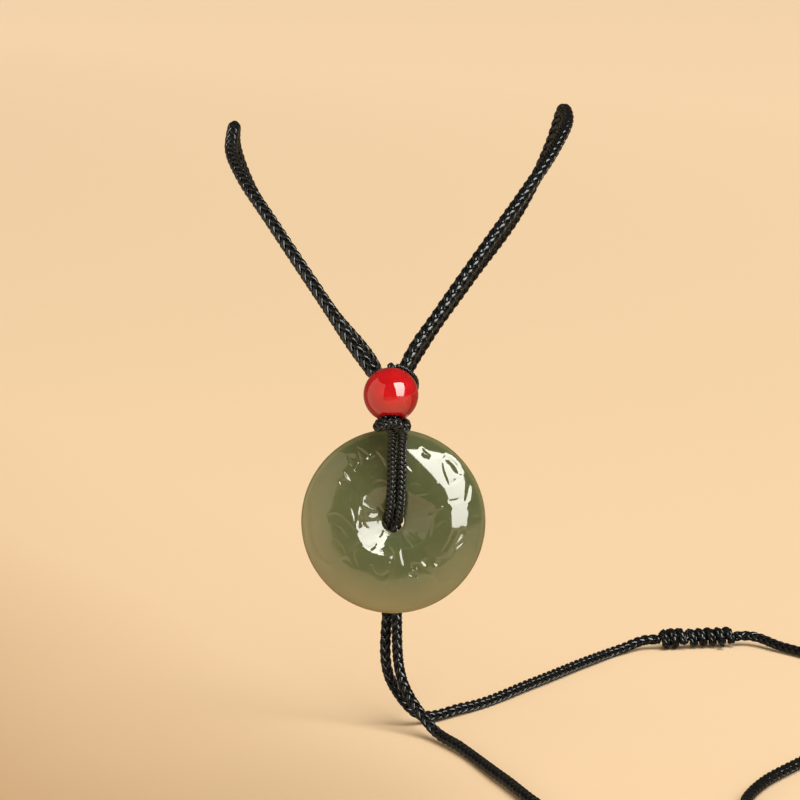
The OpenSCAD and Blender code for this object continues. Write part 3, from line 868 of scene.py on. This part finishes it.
def glowPanel(name, corners, colour, radiance, foot=1.0):
    # A glowing sheet that shows only in reflections, its corners given in metres. Its lowest
    # edge glows at the foot's share of the radiance
    mesh = bpy.data.meshes.new(name)
    mesh.from_pydata([tuple(c) for c in corners], [], [tuple(range(len(corners)))])
    glow = bpy.data.materials.new(name)
    glow.use_nodes = True
    tree = glow.node_tree
    tree.nodes.clear()
    light = tree.nodes.new("ShaderNodeEmission")
    light.inputs["Color"].default_value = (*colour, 1.0)
    if foot < 1:
        axes = tree.nodes.new("ShaderNodeSeparateXYZ")
        tree.links.new(tree.nodes.new("ShaderNodeTexCoord").outputs["Object"], axes.inputs["Vector"])
        heights = [corner[2] for corner in corners]
        rising = rangeOf(tree, axes.outputs["Z"], radiance * foot, radiance, min(heights), max(heights))
        tree.links.new(rising, light.inputs["Strength"])
    else:
        light.inputs["Strength"].default_value = radiance
    tree.links.new(light.outputs["Emission"], tree.nodes.new("ShaderNodeOutputMaterial").inputs["Surface"])
    mesh.materials.append(glow)
    panel = bpy.data.objects.new(name, mesh)
    panel.visible_camera = panel.visible_diffuse = panel.visible_shadow = False
    scene.collection.objects.link(panel)


# Plain soft studio light. A colour comes before its radiance
studio = {
    "window": ((1.0, 0.97, 0.88), 18.0),
    "windowFoot": 0.64,
    "windowFar": 1.2,
    "windowCorners": [(0.174, -0.515, 0.839), (0.724, -0.13, 0.678),
                      (0.8035, -0.595, -0.007), (0.412, -0.911, 0.034)],
    "left": ((1.0, 0.78, 0.54), 1.35),
    "wallFar": 0.3,
    "wallBearings": (31, 60, 90, 115),    # degrees from the front towards the left
    "wallTop": 0.3,
    "front": ((1.0, 0.73, 0.43), 1.55),
    "frontCorners": [(0.1, -0.06), (0.28, -0.2), (0.1, -0.34)],
    "cardHeight": -0.1165,
    "back": ((0.92, 0.66, 0.42), 0.32),
    "backCorners": [(-3, -0.02), (3, -0.02), (3, 4), (-3, 4)],
    "backHeight": -0.1166,
    # Each lamp: direction, distance, width, height, colour, power
    "lamps": {
        "keySoft": ((0.545, -0.705, 0.454), 1.2, 0.98, 1.2, (1.0, 0.93, 0.82), 4.0),
        "leftSoft": ((-0.93, -0.36, 0.1), 1.2, 1.2, 1.2, (1.0, 0.8, 0.56), 5.0),
        "fillSoft": ((-0.35, -0.92, 0.12), 1.2, 1.2, 1.0, (1.0, 0.84, 0.6), 12.0),
    },
    "sunPower": 4.1,
    "sunSpread": 50,
    "sunColour": (1.0, 0.94, 0.84),
    "sunTilt": (35, 20, 0),
    "sky": (0.85, 0.68, 0.46),
    "skyPower": 0.16,
}
eye = beadPlace * 0.001
windowAhead = unit(np.array(studio["windowCorners"]))
windowFar = studio["windowFar"] / windowAhead.dot(unit(windowAhead.mean(0)))
glowPanel("keyWindow", eye + windowAhead * windowFar[:, None], *studio["window"], studio["windowFoot"])
# Left reflector: a wall that stands on the floor beside the pendant, and the floor in front of it
card, top = studio["cardHeight"], studio["wallTop"]
wallBearings = np.radians(studio["wallBearings"])
wallFoot = [eye[:2] - studio["wallFar"] * np.array([math.sin(a), math.cos(a)]) for a in wallBearings]
for k, (a, b) in enumerate(zip(wallFoot, wallFoot[1:])):
    glowPanel("leftWall%d" % k, [(*a, card), (*b, card), (*b, top), (*a, top)], *studio["left"])
underEye = (eye[0] - 0.02, eye[1], card)
glowPanel("leftCard", [(*a, card) for a in wallFoot] + [underEye], *studio["left"])
glowPanel("frontCard", [(*wallFoot[0], card), underEye] + [(*a, card) for a in studio["frontCorners"]],
          *studio["front"])
glowPanel("backFlag", [(*a, studio["backHeight"]) for a in studio["backCorners"]], *studio["back"])
for name, lamp in studio["lamps"].items():
    areaLight(name, *lamp)
sunData = bpy.data.lights.new("softSun", "SUN")
sunData.energy = studio["sunPower"]
sunData.angle = math.radians(studio["sunSpread"])
sunData.color = studio["sunColour"]
softSun = bpy.data.objects.new("softSun", sunData)
softSun.rotation_euler = np.radians(studio["sunTilt"])
softSun.visible_glossy = False
scene.collection.objects.link(softSun)
world = bpy.data.worlds.new("studioWorld")
scene.world = world
world.use_nodes = True
sky = world.node_tree.nodes["Background"]
sky.inputs["Color"].default_value = (*studio["sky"], 1.0)
sky.inputs["Strength"].default_value = studio["skyPower"]
scene.view_settings.view_transform = "Standard"

# What each piece stands for, the body it rides on, and the name of its cord or stone
for piece, body, name, *nodes in (
    (neckPiece, "necklace", "neck_braid", "neck_cord"),
    (closurePiece, "necklace", "neck_braid", "closure_knot"),
    (tailPiece, "necklace", "neck_braid", "closure_knot"),
    (hangPiece, "drop", "thin_cord", "hanging_cord"),
    (eyePiece, "drop", "thin_cord", "junction_knot"),
    (bowPiece, "drop", "thin_cord", "junction_knot"),
    (wrapPiece, "drop", "thin_cord", "junction_knot"),
    (beadPiece, "drop", "coral", "coral_bead"),
    (discPiece, "drop", "jade", "jade_disc"),
):
    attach(piece, body)
    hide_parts(*nodes)
print("stage: bodies and cords")
